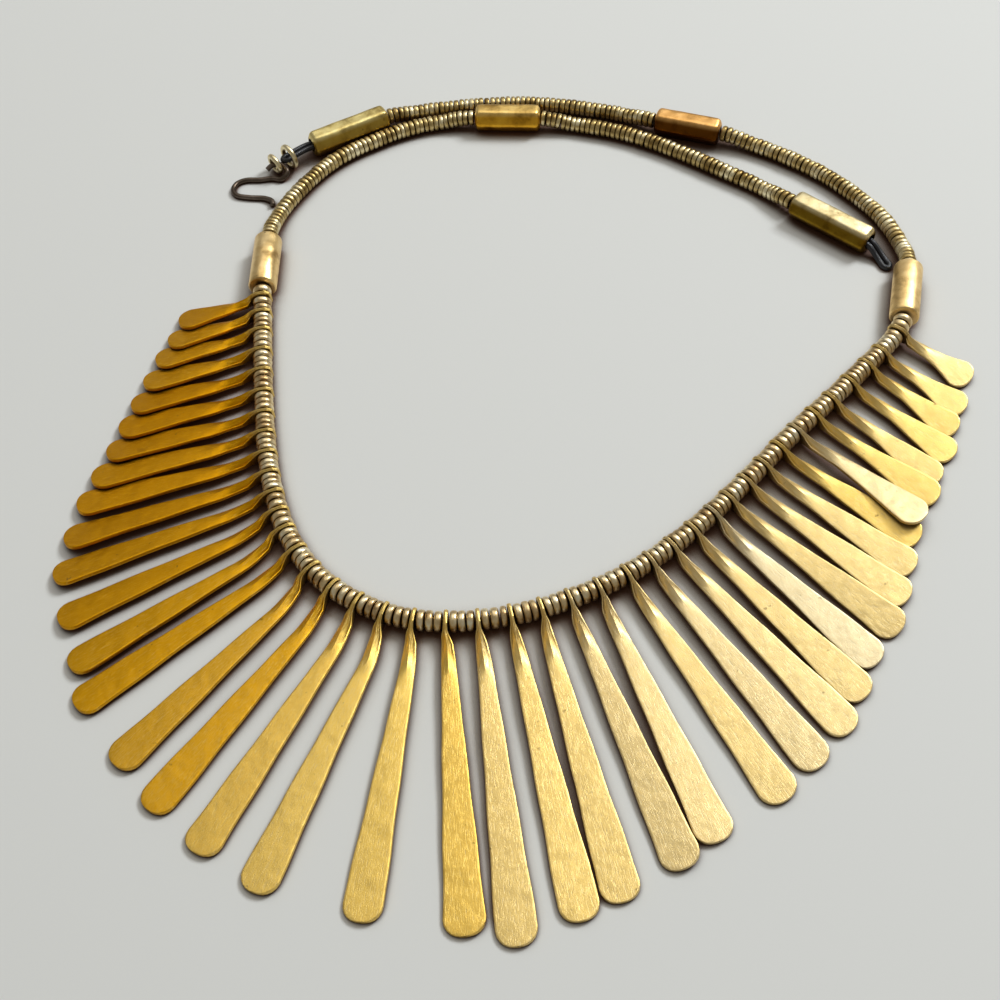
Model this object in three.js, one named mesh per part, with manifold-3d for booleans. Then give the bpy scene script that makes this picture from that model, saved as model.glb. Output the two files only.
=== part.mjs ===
// A fringe bib necklace of hammered brass, lying flat and unclasped on a surface.
// Millimetres, +Z up, +Y away from the wearer's chest, origin under the middle of the box that holds it.
import * as THREE from "three";
import { mergeVertices } from "three/addons/utils/BufferGeometryUtils.js";
import Module from "manifold-3d";

const wasm = await Module();
wasm.setup();

// Driving dimensions.
const discRadius = 1.6;
const strapDiscRadius = 1.45;
const discPitch = 1.08;
const coreRadius = 0.42;
const valleyDepth = 0.24;
const valleyShare = 0.14;
const seatGap = 0.16;
const endTrim = 0.28;
const barrelGap = 0.4;
const stringSeat = 0.35;
const cordDepth = 0.65;

const dropCount = 41;
const firstDrop = 1.9;
const dropPitch = 4.29;
const longestDrop = 46.7;
const widestBlade = 5.45;
const narrowestBlade = 4.7;
const bladeThickness = 0.7;
const headThickness = 0.6;
const headRise = 1.7;
const headDepth = 1.5;
const neckLength = 9;
const neckShare = 0.45;
const tipRounding = 0.42;
const bladeShoulder = 0.94;
const holeClearance = 0.2;

const frontBarrel = { length: 11.5, radius: 2.4, bore: 0.8, chamfer: 0.3, cut: 0.3 };
const middleBarrel = { length: 12.2, flats: 4.5, bore: 0.9, chamfer: 0.8, cut: 0.6 };
const endBarrel = { length: 15.5, flats: 4.5, bore: 1.35, chamfer: 0.8, cut: 0.6 };

const cordRadius = 0.42;
const cordSpacing = 1.1;
const ringWire = 0.4;
const crimpRingRadius = 1.9;
const jumpRingRadius = 1.6;
const hookWire = 0.46;

const bendReach = 0.55;
const riseLength = 7;

// How finely the round forms are divided.
const routeDivisions = 1200;
const stringSides = 10;
const tubeSides = 10;
const tubeStep = 6.5;
const roundBarrelSides = 14;
const hexSides = 6;
const holeSides = 8;
const cordSides = 8;
const cordSteps = 15;
const hookSteps = 26;
const ringSides = 6;
const ringSteps = 14;
const weldDistance = 1e-4;

// Where the necklace lies: points chosen by hand along the middle of each string, seen from above,
// and the shift that brings the middle of the whole to the origin.
const shift = { x: -4.67, y: -138.29 };
const routes = {
  front: [
    [-37.6, 172.4], [-37.2, 159.5], [-36.7, 149.5], [-35.8, 138], [-34.4, 129.2], [-31.8, 120.8],
    [-27.2, 113.3], [-21.5, 108.4], [-15, 105.2], [-7.5, 103.9], [0, 104.2], [8, 105.9], [18, 109.9],
    [27.5, 116.1], [36.4, 123.8], [45.8, 132.8], [54.4, 140.3], [63, 148.2], [66, 151.2], [67.9, 153.9],
  ],
  leftLower: [
    [-36.9, 184.6], [-36.5, 188.2], [-35.3, 191.9], [-33, 196.1], [-30.2, 200.1], [-26.4, 204.4],
    [-22.3, 207.5], [-18, 209.8], [-13.2, 212], [-8.5, 213.3], [-3.7, 213.7], [0.7, 213.3],
  ],
  leftUpper: [
    [13.6, 211.5], [20.4, 209.7], [27.6, 206.8], [32.8, 203.7], [39.5, 198.7], [45.1, 193.9],
    [50.6, 189.1], [55.3, 183.6],
  ],
  rightLower: [
    [71.4, 165.5], [71.9, 169.6], [71.2, 174.7], [69.8, 179.3], [68, 182.8], [65.3, 187], [61.8, 191.4],
    [58, 195.1], [53.2, 199], [48.8, 201.8], [46, 203.2],
  ],
  rightUpper: [
    [34, 208.3], [28.2, 211.8], [22.8, 213.9], [17.2, 215.7], [9.7, 217.2], [0.2, 217.7], [-3.5, 217.6],
    [-9.3, 217.1], [-15.4, 215.6],
  ],
  leftCord: [[65.9, 172.9, 2.2], [66.7, 171.9, 1.9], [67.6, 170.6, 1], [68.2, 169.4, 0.5], [68.6, 168.3, 0.45]],
  rightCord: [[-29.4, 209.1, 2.25], [-30.9, 208.5, 2.25], [-32.5, 207.4, 2.3], [-33.9, 206.3, 2.3], [-34.8, 205.6, 2.3]],
  hook: [
    [-38.3, 203.9, 1.5], [-37.5, 204.4, 1.9], [-36.7, 204.6, 2], [-35.4, 204.4, 1.85], [-34.6, 203.1, 1.3],
    [-35.7, 202.1, 0.6],
    [-37.4, 202.6, 0.5], [-39.8, 202.5, 0.47], [-42.3, 202.7, 0.47], [-43.9, 202, 0.47], [-44.6, 200.5, 0.47],
    [-43.9, 198.8, 0.47], [-41.5, 197.9, 0.47], [-38.6, 197.3, 0.5], [-37.3, 196.3, 0.6], [-37.1, 195.2, 0.6],
  ],
};
const crimpRing = { at: [-34.1, 206.1], heading: 218, lean: 0 };
const jumpRing = { at: [-36.7, 204.6], heading: 215, lean: 6 };

// The fan of the drops, at the drops named: how far a drop has slid along the string from its even
// place, as a share of the pitch, the compass heading of its blade in degrees, its reach from the thread
// to the tip as a share of the longest drop, its roll about its own length in degrees, and how far its
// neck bends the blade to its left, as a share of the widest blade. Drops between two rows share the
// change evenly.
const fan = [
  { drop: 1, slide: 0, heading: 190.1, reach: 0.313, roll: 13, sway: 0.11 },
  { drop: 2, slide: -0.21, heading: 192.4, reach: 0.351, roll: 14, sway: 0.13 },
  { drop: 3, slide: -0.26, heading: 190.7, reach: 0.390, roll: 13, sway: 0.13 },
  { drop: 7, slide: -0.07, heading: 189.6, reach: 0.544, roll: 12, sway: 0.13 },
  { drop: 9, slide: -0.14, heading: 191.0, reach: 0.642, roll: 12, sway: 0.17 },
  { drop: 11, slide: -0.28, heading: 197.8, reach: 0.741, roll: 12, sway: 0.19 },
  { drop: 13, slide: -0.61, heading: 211.1, reach: 0.782, roll: 8, sway: 0.29 },
  { drop: 14, slide: -0.61, heading: 214.9, reach: 0.818, roll: 6, sway: 0.19 },
  { drop: 15, slide: -0.63, heading: 225.2, reach: 0.835, roll: 5, sway: 0.23 },
  { drop: 16, slide: -0.55, heading: 231.1, reach: 0.864, roll: 4, sway: 0.19 },
  { drop: 17, slide: -0.47, heading: 237.6, reach: 0.893, roll: 4, sway: 0.18 },
  { drop: 18, slide: -0.47, heading: 244.5, reach: 0.925, roll: 4, sway: 0.23 },
  { drop: 19, slide: -0.44, heading: 258.8, reach: 0.936, roll: 3, sway: 0.09 },
  { drop: 20, slide: -0.35, heading: 270.7, reach: 0.964, roll: 3, sway: 0.00 },
  { drop: 21, slide: -0.28, heading: 272.7, reach: 1.000, roll: 3, sway: 0.04 },
  { drop: 22, slide: -0.19, heading: 277.6, reach: 0.961, roll: 4, sway: 0.00 },
  { drop: 23, slide: -0.16, heading: 279.4, reach: 0.938, roll: 4, sway: -0.03 },
  { drop: 24, slide: -0.16, heading: 285.2, reach: 0.904, roll: 9, sway: 0.01 },
  { drop: 25, slide: -0.09, heading: 286.6, reach: 0.872, roll: 6, sway: -0.01 },
  { drop: 26, slide: 0, heading: 295.2, reach: 0.852, roll: 6, sway: -0.03 },
  { drop: 28, slide: -0.09, heading: 302.7, reach: 0.797, roll: 8, sway: 0.00 },
  { drop: 30, slide: -0.09, heading: 306.4, reach: 0.702, roll: 11, sway: -0.07 },
  { drop: 31, slide: -0.23, heading: 310.5, reach: 0.683, roll: 12, sway: -0.03 },
  { drop: 34, slide: -0.28, heading: 313.9, reach: 0.542, roll: 13, sway: -0.03 },
  { drop: 35, slide: -0.26, heading: 308.6, reach: 0.518, roll: 13, sway: 0.04 },
  { drop: 36, slide: -0.23, heading: 311.8, reach: 0.495, roll: 13, sway: -0.01 },
  { drop: 37, slide: -0.23, heading: 307.8, reach: 0.456, roll: 13, sway: 0.05 },
  { drop: 38, slide: -0.12, heading: 309.2, reach: 0.433, roll: 12, sway: 0.04 },
  { drop: 39, slide: -0.02, heading: 307.9, reach: 0.381, roll: 12, sway: 0.03 },
  { drop: 40, slide: -0.12, heading: 309.7, reach: 0.351, roll: 12, sway: 0.02 },
  { drop: 41, slide: 0.07, heading: 312.7, reach: 0.300, roll: 12, sway: 0.00 },
];
// One drop has slid up onto its neighbour: how far its tip stands off the surface.
const raisedDrop = { drop: 35, lift: 2.2, roll: 2 };

// Sections of a drop's head: the distance out from the thread as a share of the discs' radius, the
// underside as a share of the head's depth, and the side and the crown as shares of its rise.
const headSections = [
  { out: -1.06, low: 0.55, side: 0.5, top: 0.56 },
  { out: -0.53, low: 1, side: 0.93, top: 1 },
  { out: 1.1, low: 1, side: 0.62, top: 0.75 },
];
// Sections of its neck: the distance from the thread as a share of the neck's length, the width as a
// share of the blade's, the underside, side and crown as shares of the blade's thickness above the
// blade's underside, and the share of the roll.
const neckSections = [
  { out: 0.42, width: 0.29, low: -0.5, side: 0.79, top: 2.5, roll: 0.25 },
  { out: 1, width: 0.42, low: 0, side: 0.86, top: 1.21, roll: 0.7 },
];
// Sections of its tip: the distance back from the end as a share of the tip's rounding, and the width
// as a share of the blade's.
const tipSections = [
  { back: 1.15, width: 0.98 },
  { back: 0.55, width: 0.88 },
  { back: 0.12, width: 0.52 },
];

const brass = (name, color, roughness) =>
  new THREE.MeshStandardMaterial({ name, color, roughness, metalness: 1 });
const dropBrass = brass("hammered_brass", 0xc9992f, 0.35);
const discBrass = brass("disc_brass", 0xb7a36a, 0.42);
const barrelBrass = brass("barrel_brass", 0xd8b35c, 0.28);
const hookMetal = brass("dark_wire", 0x4a4034, 0.45);
const ringMetal = brass("pale_wire", 0xd6cbb0, 0.35);
const cordBlack = new THREE.MeshStandardMaterial({ name: "black_cord", color: 0x16161a, roughness: 0.5 });

const necklace = new THREE.Group();
const place = ([x, y, z = 0]) => new THREE.Vector3(x + shift.x, y + shift.y, z);
const smooth = (t) => THREE.MathUtils.smoothstep(t, 0, 1);
const degrees = THREE.MathUtils.degToRad;

function curveThrough(points) {
  const curve = new THREE.CatmullRomCurve3(points.map(place), false, "centripetal");
  curve.arcLengthDivisions = routeDivisions;
  return curve;
}

function addMesh(name, geometry, material) {
  const mesh = new THREE.Mesh(geometry, material);
  mesh.name = name;
  necklace.add(mesh);
  return mesh;
}

// A closed skin over rings that all have the same number of points.
function skin(rings) {
  const sides = rings[0].length;
  const positions = rings.flat().flatMap((p) => [p.x, p.y, p.z]);
  const faces = [];
  for (let r = 0; r + 1 < rings.length; r++) {
    for (let i = 0; i < sides; i++) {
      const a = r * sides + i;
      const b = r * sides + ((i + 1) % sides);
      faces.push(a, b, a + sides, b, b + sides, a + sides);
    }
  }
  const last = (rings.length - 1) * sides;
  for (let i = 1; i + 1 < sides; i++) {
    faces.push(0, i + 1, i);
    faces.push(last, last + i, last + i + 1);
  }
  const geometry = new THREE.BufferGeometry();
  geometry.setAttribute("position", new THREE.Float32BufferAttribute(positions, 3));
  geometry.setIndex(faces);
  return geometry;
}

function toSolid(geometry) {
  const bare = geometry.clone();
  bare.deleteAttribute("normal");
  bare.deleteAttribute("uv");
  const merged = mergeVertices(bare, weldDistance);
  return new wasm.Manifold(
    new wasm.Mesh({
      numProp: 3,
      vertProperties: merged.attributes.position.array,
      triVerts: new Uint32Array(merged.index.array),
    }),
  );
}

function toGeometry(solid) {
  const { vertProperties, triVerts } = solid.getMesh();
  const geometry = new THREE.BufferGeometry();
  geometry.setAttribute("position", new THREE.BufferAttribute(vertProperties, 3));
  geometry.setIndex(new THREE.BufferAttribute(triVerts, 1));
  return geometry;
}

// The height of a string's middle: it lies on the surface, and climbs to a barrel's bore at its ends.
function stringHeight(s, length, radius, startHeight, endHeight) {
  const fromStart = (startHeight - radius) * smooth(1 - s / riseLength);
  const fromEnd = (endHeight - radius) * smooth(1 - (length - s) / riseLength);
  return radius + fromStart + fromEnd;
}

function fanAt(number) {
  const after = fan.findIndex((row) => row.drop >= number);
  const b = fan[after];
  const a = fan[Math.max(after - 1, 0)];
  const t = after === 0 ? 0 : (number - a.drop) / (b.drop - a.drop);
  const mix = (column) => THREE.MathUtils.lerp(a[column], b[column], t);
  return {
    slide: mix("slide") * dropPitch,
    heading: mix("heading"),
    length: mix("reach") * longestDrop,
    roll: mix("roll"),
    sway: mix("sway") * widestBlade,
  };
}

// The front string of discs. Each drop hangs between two groups of discs, on the bare core.
const frontCurve = curveThrough(routes.front);
const frontLength = frontCurve.getLength();
const dropArc = (index) => firstDrop + index * dropPitch + fanAt(index + 1).slide;
const frontHeight = (s) => stringHeight(s, frontLength, discRadius, frontBarrel.radius, frontBarrel.radius);

function frontFrame(s) {
  const u = THREE.MathUtils.clamp(s / frontLength, 0, 1);
  const at = frontCurve.getPointAt(u);
  const along = frontCurve.getTangentAt(u);
  at.z = frontHeight(s);
  const outward = new THREE.Vector3(along.y, -along.x, 0).normalize();
  return { at, along, outward };
}

function ringAt(s, radius) {
  const { at, outward } = frontFrame(s);
  const ring = [];
  for (let i = 0; i < stringSides; i++) {
    const angle = ((i + 0.5) / stringSides) * 2 * Math.PI - Math.PI / 2;
    ring.push(
      at
        .clone()
        .addScaledVector(outward, -radius * Math.cos(angle))
        .setZ(at.z + radius * Math.sin(angle)),
    );
  }
  return ring;
}

const discsIn = (a, b) => Math.max(1, Math.round((b - a) / discPitch));

// Rings of one group of fused discs from arc length a to b.
function discGroup(a, b, count = discsIn(a, b)) {
  const rings = [ringAt(a, coreRadius), ringAt(a, discRadius)];
  const thickness = (b - a) / count;
  for (let i = 1; i < count; i++) {
    const seam = a + i * thickness;
    rings.push(ringAt(seam - valleyShare * thickness, discRadius));
    rings.push(ringAt(seam, discRadius - valleyDepth));
    rings.push(ringAt(seam + valleyShare * thickness, discRadius));
  }
  rings.push(ringAt(b, discRadius), ringAt(b, coreRadius));
  return rings;
}

const headSeat = headThickness / 2 + seatGap;
const groupEnds = (index) => [dropArc(index) + headSeat, dropArc(index + 1) - headSeat];
const middleGroup = Math.floor((dropCount - 1) / 2);
const [middleStart, middleEnd] = groupEnds(middleGroup);
const middleDiscs = discsIn(middleStart, middleEnd);
const meetAt = middleEnd - (middleEnd - middleStart) / middleDiscs;

const leftRings = discGroup(endTrim, dropArc(0) - headSeat);
for (let i = 0; i < middleGroup; i++) {
  leftRings.push(...discGroup(...groupEnds(i)));
}
leftRings.push(...discGroup(middleStart, meetAt - seatGap / 2, middleDiscs - 1));
addMesh("front_string_left", skin(leftRings), discBrass);

const rightRings = discGroup(meetAt + seatGap / 2, middleEnd, 1);
for (let i = middleGroup + 1; i < dropCount - 1; i++) {
  rightRings.push(...discGroup(...groupEnds(i)));
}
rightRings.push(...discGroup(dropArc(dropCount - 1) + headSeat, frontLength - endTrim));
addMesh("front_string_right", skin(rightRings), discBrass);

// The drops: a rod hammered tall and thin where it is pierced for the thread, ridged at the neck,
// then flat and widening to a rounded tip.
function dropSizes(number) {
  const { length } = fanAt(number);
  const share = 1 - length / longestDrop;
  const width = widestBlade - (widestBlade - narrowestBlade) * share;
  const neck = Math.min(neckLength, neckShare * length);
  return { length, width, neck };
}

function makeDrop(number) {
  const { at, outward } = frontFrame(dropArc(number - 1));
  const { length, width, neck } = dropSizes(number);
  const raised = raisedDrop.drop === number;
  const { heading, roll: fanRoll, sway } = fanAt(number);
  const roll = degrees(raised ? raisedDrop.roll : fanRoll);
  const angle = degrees(heading);
  const bladeWay = new THREE.Vector3(Math.cos(angle), Math.sin(angle), 0);
  const across = new THREE.Vector3(-bladeWay.y, bladeWay.x, 0);
  const tipUnder = (width / 2) * Math.sin(roll) + (raised ? raisedDrop.lift : 0);
  const bladeBase = at.z - bladeThickness / 2;
  const tip = tipRounding * width;

  const rings = headSections.map(({ out, low, side, top }) => {
    const centre = at.clone().addScaledVector(outward, out * discRadius);
    const heights = [-low * headDepth, side * headRise, top * headRise].map((h) => at.z + h);
    return section(centre, outward, headThickness, ...heights, 0);
  });
  const bladeSection = (s, share, low, side, top, rollShare) => {
    const centre = at.clone().addScaledVector(bladeWay, s).addScaledVector(across, sway * smooth(s / neck));
    const base = THREE.MathUtils.lerp(bladeBase, tipUnder, s / length);
    const heights = [low, side, top].map((h) => base + h * bladeThickness);
    rings.push(section(centre, bladeWay, share * width, ...heights, roll * rollShare));
  };
  for (const row of neckSections) {
    bladeSection(row.out * neck, row.width, row.low, row.side, row.top, row.roll);
  }
  for (const row of tipSections) {
    bladeSection(length - row.back * tip, row.width, 0, bladeShoulder, 1, 1);
  }

  const holeRadius = coreRadius + holeClearance;
  const hole = new THREE.CylinderGeometry(holeRadius, holeRadius, 2 * discPitch, holeSides);
  const thread = new THREE.Vector3(-outward.y, outward.x, 0);
  hole.applyQuaternion(new THREE.Quaternion().setFromUnitVectors(new THREE.Vector3(0, 1, 0), thread));
  hole.translate(at.x, at.y, at.z);
  return toGeometry(toSolid(skin(rings)).subtract(toSolid(hole)));
}

// A five-cornered section: flat underneath, upright sides and a low crown, rolled about its middle.
function section(centre, forward, width, low, side, top, roll) {
  const leftward = new THREE.Vector3(-forward.y, forward.x, 0);
  const corners = [
    [width / 2, low],
    [width / 2, side],
    [0, top],
    [-width / 2, side],
    [-width / 2, low],
  ];
  return corners.map(([across, z]) => {
    const y = across * Math.cos(roll) - (z - low) * Math.sin(roll);
    const height = low + across * Math.sin(roll) + (z - low) * Math.cos(roll);
    return centre.clone().addScaledVector(leftward, y).setZ(height);
  });
}

for (let number = 1; number <= dropCount; number++) {
  addMesh("drop_" + String(number).padStart(2, "0"), makeDrop(number), dropBrass);
}

// What follows a barrel starts from the barrel's far end, so all that lies beyond a barrel moves along
// with its length. A strap's pieces in order: its lower string, its upper string and its cord.
const first = (route) => route[0];
const last = (route) => route[route.length - 1];
const movedBy = (points, { x, y }) => points.map(([px, py, ...height]) => [px + x, py + y, ...height]);

function layStrap(start, pieces) {
  const drift = { x: 0, y: 0 };
  let from = start;
  const laid = pieces.map(({ route, behind, clearance }) => {
    const next = first(movedBy(route, drift));
    const way = new THREE.Vector2(next[0] - from[0], next[1] - from[1]);
    const spare = barrelGap + behind.length + clearance - way.length();
    way.setLength(spare);
    drift.x += way.x;
    drift.y += way.y;
    const moved = movedBy(route, drift);
    from = last(moved);
    return moved;
  });
  return { lower: laid[0], upper: laid[1], cord: laid[2], drift };
}

const leftStrap = layStrap(first(routes.front), [
  { route: routes.leftLower, behind: frontBarrel, clearance: stringSeat },
  { route: routes.leftUpper, behind: middleBarrel, clearance: stringSeat },
  { route: routes.leftCord, behind: endBarrel, clearance: -cordDepth },
]);
const rightStrap = layStrap(last(routes.front), [
  { route: routes.rightLower, behind: frontBarrel, clearance: stringSeat },
  { route: routes.rightUpper, behind: middleBarrel, clearance: stringSeat },
  { route: routes.rightCord, behind: endBarrel, clearance: -cordDepth },
]);

// Barrels: a bored tube between two points, round or with six flats, its ends bevelled.
const hexCorner = Math.cos(Math.PI / hexSides);

function barrel(name, from, towards, size) {
  const round = size.radius !== undefined;
  const outer = round ? size.radius : size.flats / 2 / hexCorner;
  const half = size.length / 2;
  const profile = [
    [size.bore, -half],
    [outer - size.cut, -half],
    [outer, -half + size.chamfer],
    [outer, half - size.chamfer],
    [outer - size.cut, half],
    [size.bore, half],
    [size.bore, -half],
  ].map(([r, h]) => new THREE.Vector2(r, h));
  const sides = round ? roundBarrelSides : hexSides;
  const geometry = new THREE.LatheGeometry(profile, sides, round ? 0 : Math.PI / hexSides);
  const way = new THREE.Vector3(towards[0] - from[0], towards[1] - from[1], 0).normalize();
  const height = round ? size.radius : size.flats / 2;
  const start = place([from[0], from[1], height]).addScaledVector(way, barrelGap);
  const mesh = addMesh(name, geometry, barrelBrass);
  const up = new THREE.Vector3(0, 0, 1);
  const basis = new THREE.Matrix4().makeBasis(new THREE.Vector3().crossVectors(way, up), way, up);
  mesh.quaternion.setFromRotationMatrix(basis);
  mesh.position.copy(start).addScaledVector(way, half);
}

barrel("front_barrel_left", first(routes.front), first(leftStrap.lower), frontBarrel);
barrel("front_barrel_right", last(routes.front), first(rightStrap.lower), frontBarrel);
barrel("middle_barrel_left", last(leftStrap.lower), first(leftStrap.upper), middleBarrel);
barrel("middle_barrel_right", last(rightStrap.lower), first(rightStrap.upper), middleBarrel);
barrel("end_barrel_left", last(leftStrap.upper), first(leftStrap.cord), endBarrel);
barrel("end_barrel_right", last(rightStrap.upper), first(rightStrap.cord), endBarrel);

// The strap strings: the outer form of the thin discs threaded along each strap.
function polygon(radius, sides) {
  const shape = new THREE.Shape();
  for (let i = 0; i < sides; i++) {
    const angle = ((i + 0.5) / sides) * 2 * Math.PI;
    const x = radius * Math.cos(angle);
    const y = radius * Math.sin(angle);
    if (i === 0) shape.moveTo(x, y);
    else shape.lineTo(x, y);
  }
  shape.closePath();
  return shape;
}

function tube(name, curve, radius, sides, steps, material) {
  const options = { extrudePath: curve, steps, bevelEnabled: false };
  addMesh(name, new THREE.ExtrudeGeometry(polygon(radius, sides), options), material);
}

function strapString(name, route, startHeight, endHeight) {
  const plan = curveThrough(route);
  const length = plan.getLength();
  const points = [];
  const stations = Math.round(length / (2 * strapDiscRadius));
  for (let i = 0; i <= stations; i++) {
    const s = THREE.MathUtils.lerp(endTrim, length - endTrim, i / stations);
    points.push(plan.getPointAt(s / length).setZ(stringHeight(s, length, strapDiscRadius, startHeight, endHeight)));
  }
  const curve = new THREE.CatmullRomCurve3(points, false, "centripetal");
  tube(name, curve, strapDiscRadius, tubeSides, Math.round(length / tubeStep), discBrass);
}

const middleHeight = middleBarrel.flats / 2;
const endHeight = endBarrel.flats / 2;
strapString("strap_string_left_lower", leftStrap.lower, frontBarrel.radius, middleHeight);
strapString("strap_string_left_upper", leftStrap.upper, middleHeight, endHeight);
strapString("strap_string_right_lower", rightStrap.lower, frontBarrel.radius, middleHeight);
strapString("strap_string_right_upper", rightStrap.upper, middleHeight, endHeight);

// The doubled black cord at each end: out of the last barrel, round a tight bend and back beside itself.
function doubledCord(name, route) {
  const points = route.map(place);
  const sideAt = (i) => {
    const a = points[Math.max(i - 1, 0)];
    const b = points[Math.min(i + 1, points.length - 1)];
    return new THREE.Vector3(a.y - b.y, b.x - a.x, 0).normalize().multiplyScalar(cordSpacing / 2);
  };
  const out = points.map((p, i) => p.clone().add(sideAt(i)));
  const back = points.map((p, i) => p.clone().sub(sideAt(i))).reverse();
  const end = points[points.length - 1];
  const beyond = end.clone().sub(points[points.length - 2]).setLength(bendReach);
  const curve = new THREE.CatmullRomCurve3([...out, end.clone().add(beyond), ...back], false, "centripetal");
  tube(name, curve, cordRadius, cordSides, cordSteps, cordBlack);
}

doubledCord("cord_loop_left", leftStrap.cord);
doubledCord("cord_loop_right", rightStrap.cord);

// The wire parts at the right strap's end: a ring round the cord, a ring beyond it, and the hook.
function wireRing(name, ring, radius) {
  const geometry = new THREE.TorusGeometry(radius, ringWire, ringSides, ringSteps);
  const mesh = addMesh(name, geometry, ringMetal);
  const lean = degrees(ring.lean);
  const lowest = radius * Math.cos(lean) + ringWire;
  mesh.position.copy(place([ring.at[0] + rightStrap.drift.x, ring.at[1] + rightStrap.drift.y, lowest]));
  mesh.rotation.set(0, Math.PI / 2 + lean, 0);
  mesh.rotation.order = "ZYX";
  mesh.rotation.z = degrees(ring.heading);
}

wireRing("crimp_ring", crimpRing, crimpRingRadius);
wireRing("jump_ring", jumpRing, jumpRingRadius);

const hookPoints = movedBy(routes.hook, rightStrap.drift).map(place);
const hookCurve = new THREE.CatmullRomCurve3(hookPoints, false, "centripetal");
tube("hook", hookCurve, hookWire, cordSides, hookSteps, hookMetal);

export default necklace;
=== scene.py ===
"""A fringe bib necklace of hammered brass, lying unclasped: forty-one drops on a string of small discs."""

import bisect
import math
import random

import bpy
from mathutils import Matrix, Vector


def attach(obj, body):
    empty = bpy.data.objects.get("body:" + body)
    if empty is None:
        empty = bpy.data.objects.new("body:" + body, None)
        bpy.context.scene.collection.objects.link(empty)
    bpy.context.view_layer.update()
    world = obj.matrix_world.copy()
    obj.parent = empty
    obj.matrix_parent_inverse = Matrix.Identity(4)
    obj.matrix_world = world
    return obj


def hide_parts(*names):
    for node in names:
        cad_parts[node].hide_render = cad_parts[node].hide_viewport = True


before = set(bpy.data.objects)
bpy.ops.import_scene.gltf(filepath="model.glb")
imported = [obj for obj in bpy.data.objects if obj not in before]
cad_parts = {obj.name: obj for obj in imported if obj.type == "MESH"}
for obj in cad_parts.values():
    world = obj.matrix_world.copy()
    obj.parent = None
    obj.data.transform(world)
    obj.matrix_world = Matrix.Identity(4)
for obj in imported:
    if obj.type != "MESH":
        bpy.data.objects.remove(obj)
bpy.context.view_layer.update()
random.seed(41)

# The thread and the front discs.
# Small brass washers, cast and tumbled so that their rims are round, are threaded between the drops.
# They are a little uneven in size and lean on one another; each side of the front is one string.
MM = 0.001
UP = Vector((0, 0, 1))
# The points of all pieces are measured from under the camera; this moves them to the part's own place.
SHIFT = Vector((-4.67, -138.29, 0.0))
STEPS_A_SPAN = 60
DROP_COUNT = 41
MIDDLE_DROP = (DROP_COUNT + 1) // 2
FIRST_DROP = 1.9
DROP_PITCH = 4.29
DISC_RADIUS = 1.6
DISC_PITCH = 1.08
DISC_SIDES = 28
DISC_RIM = 0.34
RIM_MARGIN = 1.1
RIM_TURNS = (0.0, 0.3, 0.65, 1.0)
DISC_HOLE = 0.9
# A disc fills most of its room on the string, and a smaller one sags by a share of what it lacks.
DISC_FILL = 0.9
DISC_SAG = 0.6
THINNEST_DISC = 0.88
THICKEST_DISC = 1.12
SMALLEST_DISC = 0.94
DISC_LEAN = 0.045
DISC_TIP = 0.03
SLOPE_REACH = 0.3
CORE_RADIUS = 0.42
THREAD_SIDES = 8
THREAD_STEP = 1.2
END_TRIM = -0.15
RISE_LENGTH = 7.0
FRONT_BARREL_RADIUS = 2.4
HEAD_SEAT = 0.46
MEETING_GAP = 0.08
FRONT_ROUTE = [
    (-37.6, 172.4), (-37.2, 159.5), (-36.7, 149.5), (-35.8, 138), (-34.4, 129.2), (-31.8, 120.8),
    (-27.2, 113.3), (-21.5, 108.4), (-15, 105.2), (-7.5, 103.9), (0, 104.2), (8, 105.9), (18, 109.9),
    (27.5, 116.1), (36.4, 123.8), (45.8, 132.8), (54.4, 140.3), (63, 148.2), (66, 151.2), (67.9, 153.9),
]
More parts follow.
